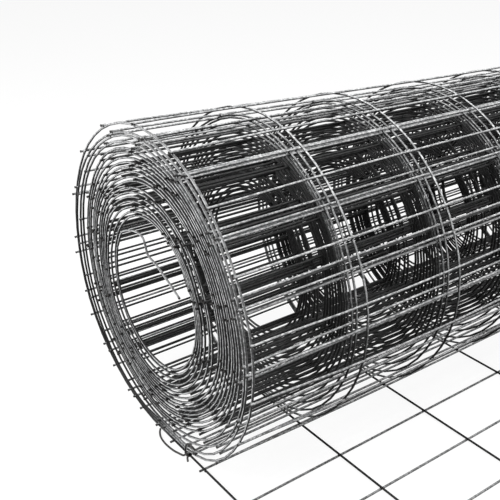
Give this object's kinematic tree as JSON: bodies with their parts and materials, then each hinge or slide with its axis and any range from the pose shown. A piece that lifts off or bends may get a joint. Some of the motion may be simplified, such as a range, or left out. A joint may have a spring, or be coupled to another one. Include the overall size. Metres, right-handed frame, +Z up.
{
  "type": "roll of wire fencing",
  "caption": "Roll of welded galvanised wire mesh fencing lying on its side, wound in open turns around an empty bore, with its loose end flat on the floor in front.",
  "frame": {"origin": "floor level at the middle of the box around the roll and its loose end", "axes": "+Y along the roll, away from the end with the tie wire; +X along the loose end, away from the roll; +Z up"},
  "size_m": [0.5286, 1.0128, 0.2827],
  "materials": {
    "galvanised_wire": "satin",
    "tie_wire": "matte"
  },
  "bodies": {
    "root": {"rolled_turns": "galvanised_wire", "loose_end": "galvanised_wire", "tie_wire": "tie_wire"}
  },
  "joints": []
}
